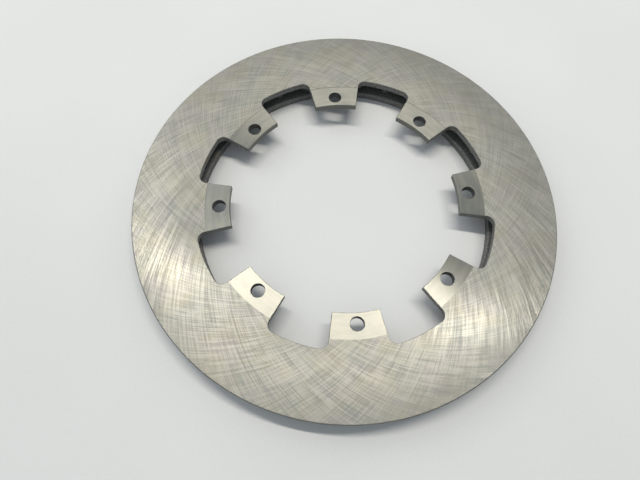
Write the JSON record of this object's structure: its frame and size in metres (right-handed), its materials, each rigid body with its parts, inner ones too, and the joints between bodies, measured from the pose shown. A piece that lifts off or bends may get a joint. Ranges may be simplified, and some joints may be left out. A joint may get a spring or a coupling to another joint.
{
  "type": "vented brake disc rotor",
  "caption": "Flat vented brake disc rotor: two ground iron friction rings on radial vanes, with bolt lugs reaching inwards from one ring.",
  "frame": {"origin": "on the spin axis, at the far-side friction face, which is the bottom of the rotor as it lies flat", "axes": "+Z along the spin axis, out of the mount side where the lugs are; +X through the first bolt hole; +Y completes the frame"},
  "size_m": [0.2984, 0.2984, 0.0206],
  "materials": {
    "ground_iron": "surface ground in crossing arcs, bare grey iron",
    "turned_iron": "fine turned concentric lay, bare grey iron",
    "cast_iron": "sand-cast skin, dark grey"
  },
  "bodies": {
    "root": {"mount_side_friction_ring": "ground_iron", "far_side_friction_ring": "ground_iron", "mounting_lug_1": "turned_iron", "mounting_lug_2": "turned_iron", "mounting_lug_3": "turned_iron", "mounting_lug_4": "turned_iron", "mounting_lug_5": "turned_iron", "mounting_lug_6": "turned_iron", "mounting_lug_7": "turned_iron", "mounting_lug_8": "turned_iron", "cooling_vane_01": "cast_iron", "cooling_vane_02": "cast_iron", "cooling_vane_03": "cast_iron", "cooling_vane_04": "cast_iron", "cooling_vane_05": "cast_iron", "cooling_vane_06": "cast_iron", "cooling_vane_07": "cast_iron", "cooling_vane_08": "cast_iron", "cooling_vane_09": "cast_iron", "cooling_vane_10": "cast_iron", "cooling_vane_11": "cast_iron", "cooling_vane_12": "cast_iron", "cooling_vane_13": "cast_iron", "cooling_vane_14": "cast_iron", "cooling_vane_15": "cast_iron", "cooling_vane_16": "cast_iron", "cooling_vane_17": "cast_iron", "cooling_vane_18": "cast_iron", "cooling_vane_19": "cast_iron", "cooling_vane_20": "cast_iron", "cooling_vane_21": "cast_iron", "cooling_vane_22": "cast_iron", "cooling_vane_23": "cast_iron", "cooling_vane_24": "cast_iron", "cooling_vane_25": "cast_iron", "cooling_vane_26": "cast_iron", "cooling_vane_27": "cast_iron", "cooling_vane_28": "cast_iron", "cooling_vane_29": "cast_iron", "cooling_vane_30": "cast_iron", "cooling_vane_31": "cast_iron", "cooling_vane_32": "cast_iron"}
  },
  "joints": []
}
